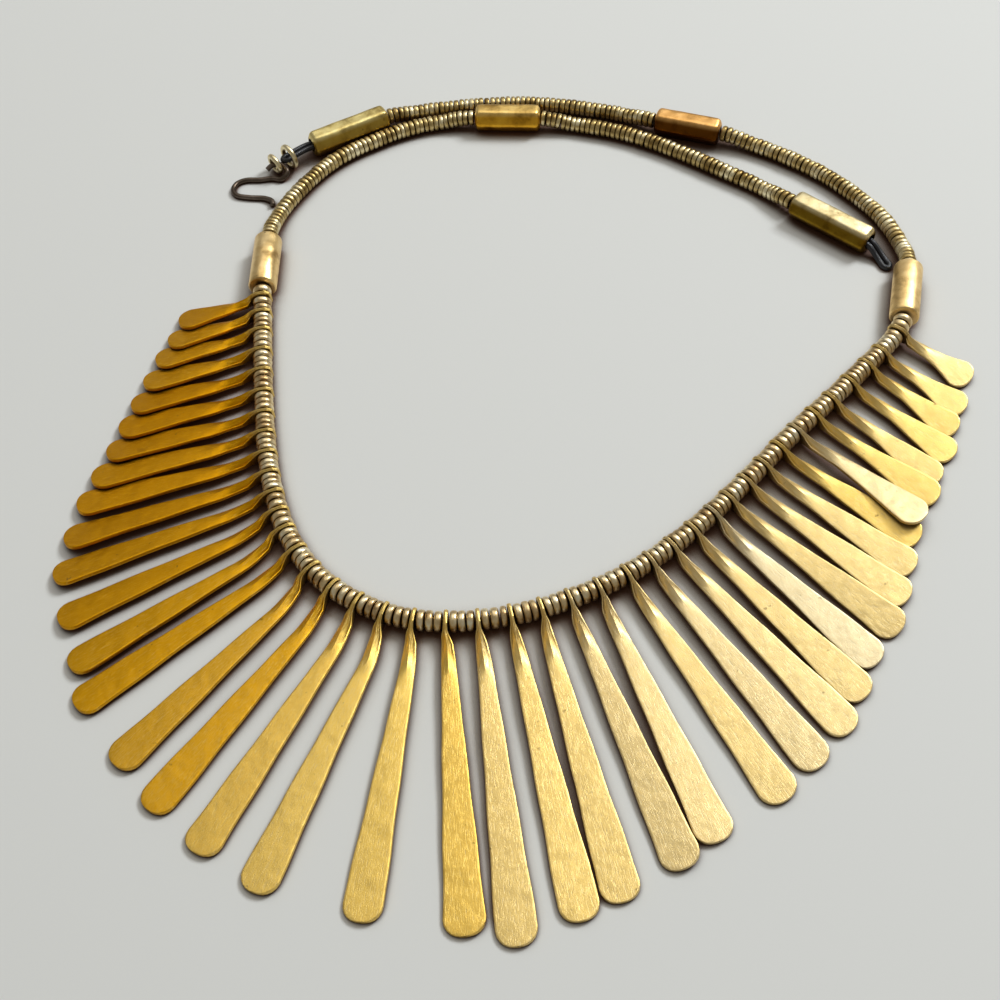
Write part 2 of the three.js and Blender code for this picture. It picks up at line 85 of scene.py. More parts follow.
# How the drops lie: slide along the string in pitches, heading and roll in degrees, reach as a share of
# the longest drop, and sway of the blade to its left in widths of the widest blade.
FAN = [
    {"drop": 1, "slide": 0, "heading": 190.1, "reach": 0.313, "roll": 13, "sway": 0.11},
    {"drop": 2, "slide": -0.21, "heading": 192.4, "reach": 0.351, "roll": 14, "sway": 0.13},
    {"drop": 3, "slide": -0.26, "heading": 190.7, "reach": 0.390, "roll": 13, "sway": 0.13},
    {"drop": 7, "slide": -0.07, "heading": 189.6, "reach": 0.544, "roll": 12, "sway": 0.13},
    {"drop": 9, "slide": -0.14, "heading": 191.0, "reach": 0.642, "roll": 12, "sway": 0.17},
    {"drop": 11, "slide": -0.28, "heading": 197.8, "reach": 0.741, "roll": 12, "sway": 0.19},
    {"drop": 13, "slide": -0.61, "heading": 211.1, "reach": 0.782, "roll": 8, "sway": 0.29},
    {"drop": 14, "slide": -0.61, "heading": 214.9, "reach": 0.818, "roll": 6, "sway": 0.19},
    {"drop": 15, "slide": -0.63, "heading": 225.2, "reach": 0.835, "roll": 5, "sway": 0.23},
    {"drop": 16, "slide": -0.55, "heading": 231.1, "reach": 0.864, "roll": 4, "sway": 0.19},
    {"drop": 17, "slide": -0.47, "heading": 237.6, "reach": 0.893, "roll": 4, "sway": 0.18},
    {"drop": 18, "slide": -0.47, "heading": 244.5, "reach": 0.925, "roll": 4, "sway": 0.23},
    {"drop": 19, "slide": -0.44, "heading": 258.8, "reach": 0.936, "roll": 3, "sway": 0.09},
    {"drop": 20, "slide": -0.35, "heading": 270.7, "reach": 0.964, "roll": 3, "sway": 0.00},
    {"drop": 21, "slide": -0.28, "heading": 272.7, "reach": 1.000, "roll": 3, "sway": 0.04},
    {"drop": 22, "slide": -0.19, "heading": 277.6, "reach": 0.961, "roll": 4, "sway": 0.00},
    {"drop": 23, "slide": -0.16, "heading": 279.4, "reach": 0.938, "roll": 4, "sway": -0.03},
    {"drop": 24, "slide": -0.16, "heading": 285.2, "reach": 0.904, "roll": 9, "sway": 0.01},
    {"drop": 25, "slide": -0.09, "heading": 286.6, "reach": 0.872, "roll": 6, "sway": -0.01},
    {"drop": 26, "slide": 0, "heading": 295.2, "reach": 0.852, "roll": 6, "sway": -0.03},
    {"drop": 28, "slide": -0.09, "heading": 302.7, "reach": 0.797, "roll": 8, "sway": 0.00},
    {"drop": 30, "slide": -0.09, "heading": 306.4, "reach": 0.702, "roll": 11, "sway": -0.07},
    {"drop": 31, "slide": -0.23, "heading": 310.5, "reach": 0.683, "roll": 12, "sway": -0.03},
    {"drop": 34, "slide": -0.28, "heading": 313.9, "reach": 0.542, "roll": 13, "sway": -0.03},
    {"drop": 35, "slide": -0.26, "heading": 308.6, "reach": 0.518, "roll": 13, "sway": 0.04},
    {"drop": 36, "slide": -0.23, "heading": 311.8, "reach": 0.495, "roll": 13, "sway": -0.01},
    {"drop": 37, "slide": -0.23, "heading": 307.8, "reach": 0.456, "roll": 13, "sway": 0.05},
    {"drop": 38, "slide": -0.12, "heading": 309.2, "reach": 0.433, "roll": 12, "sway": 0.04},
    {"drop": 39, "slide": -0.02, "heading": 307.9, "reach": 0.381, "roll": 12, "sway": 0.03},
    {"drop": 40, "slide": -0.12, "heading": 309.7, "reach": 0.351, "roll": 12, "sway": 0.02},
    {"drop": 41, "slide": 0.07, "heading": 312.7, "reach": 0.300, "roll": 12, "sway": 0.00},
]


def mix(a, b, t):
    return a + (b - a) * t


def smooth(t):
    t = min(max(t, 0.0), 1.0)
    return t * t * (3 - 2 * t)


class Route:
    """A smooth curve through given points, walked by its arc length in millimetres."""

    def __init__(self, points):
        knots = [Vector((p[0], p[1], p[2] if len(p) > 2 else 0.0)) + SHIFT for p in points]
        knots = [2 * knots[0] - knots[1]] + knots + [2 * knots[-1] - knots[-2]]
        self.points = []
        for i in range(1, len(knots) - 2):
            a, b, c, d = knots[i - 1:i + 3]
            first, middle, final = ((q - p).length ** 0.5 for p, q in ((a, b), (b, c), (c, d)))
            leave = ((b - a) / first - (c - a) / (first + middle) + (c - b) / middle) * middle
            reach = ((c - b) / middle - (d - b) / (middle + final) + (d - c) / final) * middle
            for k in range(STEPS_A_SPAN):
                t = k / STEPS_A_SPAN
                self.points.append(
                    b + leave * t + (3 * (c - b) - 2 * leave - reach) * t ** 2
                    + (2 * (b - c) + leave + reach) * t ** 3
                )
        self.points.append(knots[-2].copy())
        self.arcs = [0.0]
        for p, q in zip(self.points, self.points[1:]):
            self.arcs.append(self.arcs[-1] + (q - p).length)
        self.length = self.arcs[-1]

    def at(self, s):
        """The point at s; before the start and past the end it goes straight on."""
        i = min(max(bisect.bisect_right(self.arcs, s) - 1, 0), len(self.points) - 2)
        share = (s - self.arcs[i]) / (self.arcs[i + 1] - self.arcs[i])
        return self.points[i].lerp(self.points[i + 1], share)

    def along(self, s):
        reach = 0.15
        return (self.at(s + reach) - self.at(s - reach)).normalized()


def row_for(table, number):
    """A drop's row of a table: drops between two rows share the change evenly."""
    after = next(i for i, row in enumerate(table) if row["drop"] >= number)
    b = table[after]
    a = table[max(after - 1, 0)]
    t = (number - a["drop"]) / (b["drop"] - a["drop"]) if after else 0.0
    return {key: mix(a[key], b[key], t) for key in b}


def drop_arc(number):
    """Where a drop's head sits along the front string."""
    return FIRST_DROP + (number - 1) * DROP_PITCH + row_for(FAN, number)["slide"] * DROP_PITCH


def string_height(s, length, radius, start, end):
    """Height of a string's middle: on the surface, climbing to a barrel's bore at its ends."""
    rise_start = (start - radius) * smooth(1 - s / RISE_LENGTH)
    rise_end = (end - radius) * smooth(1 - (length - s) / RISE_LENGTH)
    return radius + rise_start + rise_end


def make_piece(name, verts, faces, material, node, uvs=None, tones=None, sharp=None, colours=None):
    """A piece in place of one node of the part: points in millimetres, none of them under the floor."""
    mesh = bpy.data.meshes.new(name)
    mesh.from_pydata([(v.x * MM, v.y * MM, max(v.z, 0.0) * MM) for v in verts], [], faces)
    mesh.materials.append(material)
    for polygon in mesh.polygons:
        polygon.use_smooth = True
    if uvs:
        layer = mesh.uv_layers.new(name="UVMap")
        for loop in mesh.loops:
            layer.data[loop.index].uv = uvs[loop.vertex_index]
    if tones:
        attribute = mesh.attributes.new("tone", "FLOAT", "POINT")
        attribute.data.foreach_set("value", tones)
    if colours:
        attribute = mesh.attributes.new("own_colour", "FLOAT_COLOR", "POINT")
        attribute.data.foreach_set("color", [c for colour in colours for c in (*colour, 1.0)])
    mesh.update()
    if sharp:
        mesh.set_sharp_from_angle(angle=math.radians(sharp))
    piece = bpy.data.objects.new(name, mesh)
    bpy.context.scene.collection.objects.link(piece)
    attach(piece, "root")
    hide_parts(node)


def add_node(tree, kind, settings=None, **values):
    """A shader node with its settings and its unlinked inputs filled in."""
    node = tree.nodes.new(kind)
    for key, value in (settings or {}).items():
        setattr(node, key, value)
    for key, value in values.items():
        node.inputs[key.replace("_", " ")].default_value = value
    return node


def add_math(tree, operation, *terms):
    """A calculation on terms, each of them a number or another node's output."""
    node = add_node(tree, "ShaderNodeMath", {"operation": operation})
    for socket, term in zip(node.inputs, terms):
        if isinstance(term, float):
            socket.default_value = term
        else:
            tree.links.new(term, socket)
    return node.outputs[0]


def add_noise(tree, where, scale, detail, roughness):
    node = add_node(tree, "ShaderNodeTexNoise", Scale=scale, Detail=detail, Roughness=roughness)
    tree.links.new(where, node.inputs["Vector"])
    return node.outputs["Fac"]


def add_strokes(tree, where, across, along, turn, detail, roughness):
    """Noise drawn out into strokes: how many lie side by side, how many end to end, and their turn."""
    node = add_node(tree, "ShaderNodeMapping", Scale=(across, along, 1.0), Rotation=(0.0, 0.0, turn))
    tree.links.new(where, node.inputs["Vector"])
    return add_noise(tree, node.outputs["Vector"], 1.0, detail, roughness)


def add_range(tree, value, start, end, most=1.0):
    """A value spread so that start becomes 0 and end becomes most."""
    node = add_node(tree, "ShaderNodeMapRange", From_Min=start, From_Max=end, To_Max=most)
    tree.links.new(value, node.inputs["Value"])
    return node.outputs["Result"]


GRAIN_SHARE = 0.12
SCRATCH_CUT = -0.1


def metal_surface_group():
    """Shared wear of the brass, and painted shade: mottled patina, scratches, brushing, relief, pits, and
    painted shade in hollows and between pieces.
    """
    group = bpy.data.node_groups.new("worn_metal", "ShaderNodeTree")
    group.interface.new_socket("Across", in_out="INPUT", socket_type="NodeSocketVector")
    for effect in ("Mottle", "Scratches", "Height", "PitsAndShade", "Brushing"):
        group.interface.new_socket(effect, in_out="OUTPUT", socket_type="NodeSocketFloat")
    own_way = group.nodes.new("NodeGroupInput").outputs["Across"]
    place = group.nodes.new("ShaderNodeTexCoord").outputs["Object"]
    leave = group.nodes.new("NodeGroupOutput")
    mottle = add_noise(group, place, scale=330.0, detail=4.0, roughness=0.6)
    lines = add_strokes(group, own_way, across=80.0, along=4.0, turn=0.12, detail=3.0, roughness=0.7)
    crossing = add_strokes(group, own_way, across=85.0, along=6.0, turn=0.9, detail=2.0, roughness=0.6)
    scratches = add_range(group, add_math(group, "MAXIMUM", lines, crossing), 0.57, 0.66)
    brushing = add_strokes(group, own_way, across=75.0, along=20.0, turn=-0.35, detail=6.0, roughness=0.75)
    grain = add_noise(group, place, scale=5200.0, detail=2.0, roughness=0.5)
    dents = add_noise(group, place, scale=420.0, detail=1.0, roughness=0.4)
    uneven = add_math(group, "ADD", add_math(group, "MULTIPLY", grain, GRAIN_SHARE), dents)
    height = add_math(group, "MULTIPLY_ADD", scratches, SCRATCH_CUT, uneven)
    # Painted shade: the colour darkens where other surfaces close in, between discs, under heads and where
    # pieces meet.
    shelter = add_node(group, "ShaderNodeAmbientOcclusion", {"samples": 8}, Distance=0.0016)
    painted_shade = add_range(group, shelter.outputs["AO"], 0.75, 0.2)
    spots = add_noise(group, place, scale=900.0, detail=2.0, roughness=0.55)
    pits = add_range(group, spots, 0.71, 0.78, most=0.55)
    group.links.new(add_range(group, mottle, 0.32, 0.68), leave.inputs["Mottle"])
    group.links.new(scratches, leave.inputs["Scratches"])
    group.links.new(height, leave.inputs["Height"])
    group.links.new(add_math(group, "MAXIMUM", painted_shade, pits), leave.inputs["PitsAndShade"])
    group.links.new(add_range(group, brushing, 0.3, 0.7), leave.inputs["Brushing"])
    return group


WORN_METAL = metal_surface_group()
SCRATCH_SHINE = 0.15
SCRATCH_ROUGHNESS = 0.12
RELIEF_DEPTH = 0.00025


def brass(name, tones, rough, bump, mottle=0.35, pit_and_shade_colour=(0.1, 0.05, 0.015), hammered=False, tinted=False):
    """Worn brass: its tones go from the darkest to the palest, and its wear moves over a share of them.

    Hammered brass is brushed along the piece and starts from the piece's own tones, which on the drops
    hold painted reflection and glare; tinted brass is multiplied by the piece's colours, which on the
    six-sided bars hold painted light on their top facets and painted shade on the lower ones.
    """
    material = bpy.data.materials.new(name)
    material.use_nodes = True
    tree = material.node_tree
    shader = tree.nodes["Principled BSDF"]
    shader.inputs["Metallic"].default_value = 1.0
    wear = add_node(tree, "ShaderNodeGroup", {"node_tree": WORN_METAL})
    place = tree.nodes.new("ShaderNodeTexCoord")
    tree.links.new(place.outputs["UV" if hammered else "Object"], wear.inputs["Across"])
    ramp = tree.nodes.new("ShaderNodeValToRGB")
    stops = ramp.color_ramp.elements
    while len(stops) < len(tones):
        stops.new(0.5)
    for i, colour in enumerate(tones):
        stops[i].position = i / (len(tones) - 1)
        stops[i].color = (*colour, 1.0)
    darkest = (1 - mottle) / 2
    # Hammered brass starts from each drop's tones, which hold painted reflection and glare as well as the
    # metal's own colour.
    if hammered:
        tone = add_node(tree, "ShaderNodeAttribute", {"attribute_name": "tone"})
        darkest = add_math(tree, "ADD", tone.outputs["Fac"], -mottle / 2)
    worn = wear.outputs["Brushing" if hammered else "Mottle"]
    shade = add_math(tree, "MULTIPLY_ADD", worn, mottle, darkest)
    shine = add_math(tree, "MULTIPLY_ADD", wear.outputs["Scratches"], SCRATCH_SHINE, shade)
    tree.links.new(shine, ramp.inputs["Fac"])
    metal = ramp.outputs["Color"]
    # The piece's colours can hold painted light: on the six-sided bars they are painted bright on top and
    # dark below.
    if tinted:
        own = add_node(tree, "ShaderNodeAttribute", {"attribute_name": "own_colour"})
        tint = add_node(tree, "ShaderNodeMix", {"data_type": "RGBA", "blend_type": "MULTIPLY"}, Factor=1.0)
        tree.links.new(own.outputs["Color"], tint.inputs["A"])
        tree.links.new(metal, tint.inputs["B"])
        metal = tint.outputs["Result"]
    # Pits and the painted shade in hollows and between pieces darken the colour towards this one.
    pitted_and_shaded = add_node(tree, "ShaderNodeMix", {"data_type": "RGBA"}, B=(*pit_and_shade_colour, 1.0))
    tree.links.new(wear.outputs["PitsAndShade"], pitted_and_shaded.inputs["Factor"])
    tree.links.new(metal, pitted_and_shaded.inputs["A"])
    tree.links.new(pitted_and_shaded.outputs["Result"], shader.inputs["Base Color"])
    gloss = add_math(tree, "MULTIPLY_ADD", wear.outputs["Scratches"], SCRATCH_ROUGHNESS, rough)
    tree.links.new(gloss, shader.inputs["Roughness"])
    relief = add_node(tree, "ShaderNodeBump", Strength=bump, Distance=RELIEF_DEPTH)
    tree.links.new(wear.outputs["Height"], relief.inputs["Height"])
    tree.links.new(relief.outputs["Normal"], shader.inputs["Normal"])
    return material


# Its last colour is that of the pits and of the painted shade between the discs.
DISC_BRASS = brass(
    "disc_brass", [(0.32, 0.18, 0.06), (0.78, 0.6, 0.32), (1.0, 0.94, 0.7)],
    rough=0.34, bump=0.6, mottle=0.9, pit_and_shade_colour=(0.06, 0.028, 0.01),
)


def square_to(axis):
    """The level direction and the upright one that are square to an axis."""
    side = axis.cross(UP).normalized()
    return side, side.cross(axis)


def round_ring(centre, side, up, radius, sides):
    turns = [2 * math.pi * i / sides for i in range(sides)]
    return [centre + side * (radius * math.cos(turn)) + up * (radius * math.sin(turn)) for turn in turns]


def ring_faces(rings, sides, first=0, closed=False):
    """Faces between rings of points; a closed row of rings joins its last ring to its first."""
    faces = []
    for j in range(rings if closed else rings - 1):
        near = first + j * sides
        far = first + ((j + 1) % rings) * sides
        for i in range(sides):
            k = (i + 1) % sides
            faces.append((near + i, far + i, far + k, near + k))
    return faces


def disc(centre, axis, radius, thickness, verts, faces):
    """One washer: a flat-faced disc with a rounded rim, turned about its axis."""
    side, up = square_to(axis)
    half = thickness / 2
    curve = DISC_RIM * thickness
    profile = [(-half, CORE_RADIUS * DISC_HOLE), (-half, radius - RIM_MARGIN * curve)]
    for turn in RIM_TURNS:
        angle = turn * math.pi / 2
        profile.append((-half + curve * (1 - math.cos(angle)), radius - curve + curve * math.sin(angle)))
    profile += [(-a, r) for a, r in reversed(profile)]
    faces += ring_faces(len(profile), DISC_SIDES, len(verts), closed=True)
    for a, r in profile:
        verts += round_ring(centre + axis * a, side, up, r, DISC_SIDES)


def disc_run(route, start, end, height, radius, pitch, verts, faces):
    """A run of touching discs between two places on a string, each a little uneven."""
    count = max(1, round((end - start) / pitch))
    shares = [random.uniform(THINNEST_DISC, THICKEST_DISC) for _ in range(count)]
    scale = (end - start) / sum(shares)
    s = start
    for share in shares:
        thickness = share * scale
        middle = s + thickness / 2
        centre = route.at(middle)
        axis = route.along(middle)
        axis.z = (height(middle + SLOPE_REACH) - height(middle - SLOPE_REACH)) / (2 * SLOPE_REACH)
        lean = Vector((random.gauss(0, DISC_LEAN), random.gauss(0, DISC_LEAN), random.gauss(0, DISC_TIP)))
        own = radius * random.uniform(SMALLEST_DISC, 1.0)
        centre.z = height(middle) - (radius - own) * DISC_SAG
        disc(centre, (axis + lean).normalized(), own, thickness * DISC_FILL, verts, faces)
        s += thickness


def thread(route, start, end, height, verts, faces):
    """The thin thread through a string."""
    count = max(2, round((end - start) / THREAD_STEP))
    faces += ring_faces(count + 1, THREAD_SIDES, len(verts))
    for j in range(count + 1):
        s = mix(start, end, j / count)
        centre = route.at(s)
        centre.z = height(s)
        side, up = square_to(route.along(s))
        verts += round_ring(centre, side, up, CORE_RADIUS, THREAD_SIDES)


front = Route(FRONT_ROUTE)


def front_height(s):
    return string_height(s, front.length, DISC_RADIUS, FRONT_BARREL_RADIUS, FRONT_BARREL_RADIUS)


# The two strings meet just before the drop that follows the middle one.
MEETING = drop_arc(MIDDLE_DROP + 1) - HEAD_SEAT - DISC_PITCH
for side_name, first_drop, last_drop, string_start, string_end in (
    ("left", 0, MIDDLE_DROP, END_TRIM, MEETING - MEETING_GAP),
    ("right", MIDDLE_DROP, DROP_COUNT, MEETING + MEETING_GAP, front.length - END_TRIM),
):
    verts = []
    faces = []
    for number in range(first_drop, last_drop + 1):
        run_start = string_start if number == first_drop else drop_arc(number) + HEAD_SEAT
        run_end = string_end if number == last_drop else drop_arc(number + 1) - HEAD_SEAT
        disc_run(front, run_start, run_end, front_height, DISC_RADIUS, DISC_PITCH, verts, faces)
    thread(front, string_start, string_end, front_height, verts, faces)
    node_name = "front_string_" + side_name
    make_piece("front_discs_" + side_name, verts, faces, DISC_BRASS, node_name)

# The drops.
# Each is a brass rod hammered tall and thin where it is pierced for the thread, roof-shaped at its
# neck, then beaten flat and wider to a rounded tip; it lies on the surface, over its right neighbour.
LONGEST_DROP = 46.7
WIDEST_BLADE = 5.45
NARROWEST_BLADE = 4.7
BLADE_THICKNESS = 0.7
BLADE_STEP = 2.4
LEAST_BLADE = 0.5
HEAD_THICKNESS = 0.6
HEAD_RISE = 1.6
HEAD_DEPTH = 1.5
NECK_LENGTH = 9.0
# The neck is at most this share of the drop's length; its width and the tip's roundness are shares of
# the blade's width, and the neck's bend ends at a share of its length.
NECK_SHARE = 0.45
NECK_WIDTH = 0.42
FULL_NECK_WIDTH = 0.56
NECK_BEND = 0.42
LEAST_BEND = 0.1
PAST_NECK = 2.2
CLOSE_PAST_NECK = 2
TIP_ROUND = 0.42
TIP_FULLNESS = 0.8
NARROWEST_TIP = 0.0009
TIP_ANGLES = (18, 36, 52, 66, 78, 86)
HEAD_REACH = 1.1 * DISC_RADIUS
EDGE_ROUND = 0.16
DROP_SIDES = 20
DROP_CREASE = 24
LEAST_HEIGHT = 0.02
UV_SCALE = 0.1
UV_PITCH = 0.7
RAISED_DROP = 35
RAISED_LIFT = 2.2
RAISED_ROLL = 2
# The first drops on the left are a little fuller; this fades out towards the last full drop.
LAST_FULL_DROP = 12
FULL_DROP_FADE = 5
FULL_DROP_SPREAD = 0.1
# No blade is quite true: it twists a little towards its tip, and its edges wave.
WARP = 0.05
WARP_FADE = 15
EDGE_WAVE = 0.025
WAVE_RATE = 0.55
WAVE_SHIFT = 1.7
WAVE_FADE = 4
# The heads are no darker than this share of the range of tones; past the thread they fade to the blade's
# own.
HEAD_TONE = 0.55
HEAD_TONE_START = 1
HEAD_TONE_FADE = 2.5
TONE_CHANGE = 0.05
# Share of the metal's range of tones, from deep amber to pale gold, at the drops named. It is partly the
# metal's own colour and partly painted reflection and glare, which make the left drops deeper amber, the
# right ones paler and drops 30 and 35 near white.
DROP_TONES_AND_GLARE = [
    {"drop": 1, "tone": 0.14}, {"drop": 8, "tone": 0.13}, {"drop": 12, "tone": 0.17},
    {"drop": 16, "tone": 0.3}, {"drop": 18, "tone": 0.52}, {"drop": 20, "tone": 0.46},
    {"drop": 21, "tone": 0.6}, {"drop": 26, "tone": 0.7}, {"drop": 29, "tone": 0.7},
    {"drop": 30, "tone": 0.84}, {"drop": 31, "tone": 0.7}, {"drop": 34, "tone": 0.58},
    {"drop": 35, "tone": 0.78}, {"drop": 36, "tone": 0.56}, {"drop": 41, "tone": 0.62},
]
DROP_BRASS = brass(
    "hammered_brass",
    [(0.6, 0.25, 0.0), (0.7, 0.36, 0.01), (0.83, 0.575, 0.14), (0.77, 0.6, 0.3), (0.76, 0.67, 0.46)],
    rough=0.43, bump=0.5, mottle=0.16, hammered=True,
)


def drop_sections(length, width, neck, neck_share, round_end):
    """Rows along a drop: place, width, heights of underside, shoulder and crown, and share of the roll."""
    t = BLADE_THICKNESS
    below = -HEAD_DEPTH + t / 2
    above = HEAD_RISE + t / 2
    past_width = neck_share * width + PAST_NECK * (1 - neck_share) * width / (length - neck)
    sections = [
        (-HEAD_RISE, 0.5 * HEAD_THICKNESS, 0.5 * below, 0.45 * above, 0.5 * above, 0),
        (-0.82 * HEAD_RISE, HEAD_THICKNESS, 0.8 * below, 0.72 * above, 0.78 * above, 0),
        (-0.4 * HEAD_RISE, HEAD_THICKNESS, below, 0.92 * above, above, 0),
        (0.6 * HEAD_RISE, HEAD_THICKNESS, below, 0.86 * above, 0.98 * above, 0),
        (HEAD_REACH, 1.15 * HEAD_THICKNESS, 0.9 * below, 0.6 * above, 0.84 * above, 0),
        (0.3 * neck, 0.24 * width, 0.5 * below, 0.36 * above, 0.72 * above, 0.1),
        (0.42 * neck, 0.31 * width, 0.3 * below, 0.55 * t, 0.6 * above + 0.2, 0.25),
        (0.7 * neck, 0.38 * width, 0.08 * below, 0.7 * t, 1.1, 0.5),
        (neck, neck_share * width, 0, 0.86 * t, 1.12 * t, 0.7),
        (neck + PAST_NECK, past_width, 0, 0.94 * t, 0.98 * t, 0.75),
        (length - round_end, width, 0, 0.95 * t, t, 1),
        (length, width, 0, 0.95 * t, t, 1),
    ]
    if neck + PAST_NECK > length - round_end - LEAST_BLADE:
        sections.pop(-3)
    return sections


def section_at(sections, s):
    """A drop's section at s, shared evenly between the two listed on either side."""
    for a, b in zip(sections, sections[1:]):
        if s <= b[0]:
            return [mix(p, q, (s - a[0]) / (b[0] - a[0])) for p, q in zip(a, b)]
    return sections[-1]


def drop_stations(sections, length, neck, round_end):
    """Where a drop's rings of points lie: closest at its head and neck, and round its tip."""
    stations = [section[0] for section in sections[:-2]]
    blade_start = stations[-1]
    steps = max(3, round((length - round_end - blade_start) / BLADE_STEP))
    stations += [mix(blade_start, length - round_end, j / steps) for j in range(1, steps + 1)]
    stations += [length - round_end + round_end * math.sin(math.radians(angle)) for angle in TIP_ANGLES]
    refined = []
    for a, b in zip(stations, stations[1:]):
        refined += [a, mix(a, b, 0.5)] if b < neck + CLOSE_PAST_NECK else [a]
    return refined + [stations[-1]]


def drop_outline(half, low, side, top):
    """A drop cut across: flat below, with eased edges, and rising from its shoulders to its crown."""
    edge = min(EDGE_ROUND, 0.45 * half, 0.45 * (side - low))
    ease = 0.3 * edge
    corners = [
        (0.0, low), (0.5 * half, low), (half - edge, low), (half - ease, low + ease),
        (half, low + edge), (half, side - edge), (half - ease, side - ease), (half - edge, side),
        (half - 2 * edge, mix(side, top, edge * 2 / half)), (0.5 * half, mix(side, top, 0.5)), (0.0, top),
    ]
    return corners + [(-x, z) for x, z in reversed(corners[1:-1])]


def turned_over(faces):
    return [(a, d, c, b) for a, b, c, d in faces]


def make_drop(number):
    """One drop, bent from the string's outward way at its head to its own heading in the fan."""
    fan = row_for(FAN, number)
    length = fan["reach"] * LONGEST_DROP
    arc = drop_arc(number)
    head = front.at(arc)
    head.z = front_height(arc)
    tangent = front.along(arc)
    outward = Vector((tangent.y, -tangent.x, 0)).normalized()
    heading = math.radians(fan["heading"])
    blade_way = Vector((math.cos(heading), math.sin(heading), 0))
    left_of_head = Vector((-outward.y, outward.x, 0))
    left_of_blade = Vector((-blade_way.y, blade_way.x, 0))
    fuller = smooth((LAST_FULL_DROP - number) / FULL_DROP_FADE)
    width = WIDEST_BLADE - (WIDEST_BLADE - NARROWEST_BLADE) * (1 - length / LONGEST_DROP)
    width *= 1 + FULL_DROP_SPREAD * fuller
    neck = min(NECK_LENGTH, NECK_SHARE * length)
    round_end = TIP_ROUND * width
    raised = number == RAISED_DROP
    roll = math.radians(RAISED_ROLL if raised else fan["roll"] + fuller)
    blade_base = head.z - BLADE_THICKNESS / 2
    tip_base = (width / 2) * math.sin(roll) + (RAISED_LIFT if raised else 0)
    bend_length = max(NECK_BEND * neck - HEAD_REACH, LEAST_BEND)
    warp = random.uniform(-WARP, WARP)
    # Painted reflection and glare: the drop's share of the tones comes from the table above, with a small
    # random change.
    own_tone_and_glare = row_for(DROP_TONES_AND_GLARE, number)["tone"] + random.uniform(-TONE_CHANGE, TONE_CHANGE)
    sections = drop_sections(length, width, neck, mix(NECK_WIDTH, FULL_NECK_WIDTH, fuller), round_end)
    stations = drop_stations(sections, length, neck, round_end)
    verts = []
    uvs = []
    tones = []
    for s in stations:
        _, full, low, side, top, roll_share = section_at(sections, s)
        half = full / 2
        if s > length - round_end:
            into_tip = (s - length + round_end) / round_end
            half *= math.sqrt(max(1 - into_tip ** 2, NARROWEST_TIP)) ** TIP_FULLNESS
        wave = math.sin(s * WAVE_RATE + number * WAVE_SHIFT) * smooth((s - neck) / WAVE_FADE)
        half *= 1 + EDGE_WAVE * wave
        own_roll = roll * roll_share + warp * smooth((s - neck) / WARP_FADE)
        bent = smooth((s - HEAD_REACH) / bend_length)
        swayed = head + blade_way * s + left_of_blade * (fan["sway"] * WIDEST_BLADE * smooth(s / neck))
        centre = (head + outward * s).lerp(swayed, bent)
        leftward = left_of_head.lerp(left_of_blade, bent).normalized()
        base = mix(blade_base, tip_base, min(max(s / length, 0), 1))
        own_share = smooth((s - HEAD_TONE_START) / HEAD_TONE_FADE)
        tone = mix(max(own_tone_and_glare, HEAD_TONE), own_tone_and_glare, own_share)
        for x, z in drop_outline(half, low, side, top):
            point = centre + leftward * (x * math.cos(own_roll) - (z - low) * math.sin(own_roll))
            height = base + low + x * math.sin(own_roll) + (z - low) * math.cos(own_roll)
            point.z = max(height, LEAST_HEIGHT)
            verts.append(point)
            uvs.append((UV_SCALE * x + UV_PITCH * number, UV_SCALE * s))
            tones.append(tone)
    faces = turned_over(ring_faces(len(stations), DROP_SIDES))
    faces.append(tuple(reversed(range(DROP_SIDES))))
    faces.append(tuple(range(len(verts) - DROP_SIDES, len(verts))))
    name = "blade_%02d" % number
    make_piece(name, verts, faces, DROP_BRASS, "drop_%02d" % number, uvs, tones, DROP_CREASE)


for drop_number in range(1, DROP_COUNT + 1):
    make_drop(drop_number)

# The front barrels.
# A round brass tube at each end of the front string, polished, its ends cut square and eased.
FRONT_BARREL = {"length": 11.5, "bore": 0.8, "lip": 0.15, "chamfer": 0.3}
MIDDLE_BARREL_LENGTH = 12.2
END_BARREL_LENGTH = 15.5
BARREL_GAP = 0.4
BARREL_SIDES = 64
BARREL_CREASE = 40
EASE_TURNS = (0.5, 1.0, math.pi / 2)
STRING_SEAT = 0.35
CORD_DEPTH = 0.65
FRONT_GOLD = (1.0, 0.76, 0.38)
BARREL_BRASS = brass(
    "barrel_brass", [(0.42, 0.34, 0.22), (0.86, 0.8, 0.68), (1.0, 1.0, 1.0)],
    rough=0.36, bump=0.7, mottle=0.9, tinted=True,
)
# Each strap's strings and cord as the photo shows them, from the front barrel on.
LEFT_LOWER = [
    (-36.9, 184.6), (-36.5, 188.2), (-35.3, 191.9), (-33, 196.1), (-30.2, 200.1), (-26.4, 204.4),
    (-22.3, 207.5), (-18, 209.8), (-13.2, 212), (-8.5, 213.3), (-3.7, 213.7), (0.7, 213.3),
]
LEFT_UPPER = [
    (13.6, 211.5), (20.4, 209.7), (27.6, 206.8), (32.8, 203.7), (39.5, 198.7), (45.1, 193.9),
    (50.6, 189.1), (55.3, 183.6),
]
LEFT_CORD = [
    (65.9, 172.9, 2.2), (66.7, 171.9, 1.9), (67.6, 170.6, 1), (68.2, 169.4, 0.5), (68.6, 168.3, 0.45),
]
RIGHT_LOWER = [
    (71.4, 165.5), (71.9, 169.6), (71.2, 174.7), (69.8, 179.3), (68, 182.8), (65.3, 187), (61.8, 191.4),
    (58, 195.1), (53.2, 199), (48.8, 201.8), (46, 203.2),
]
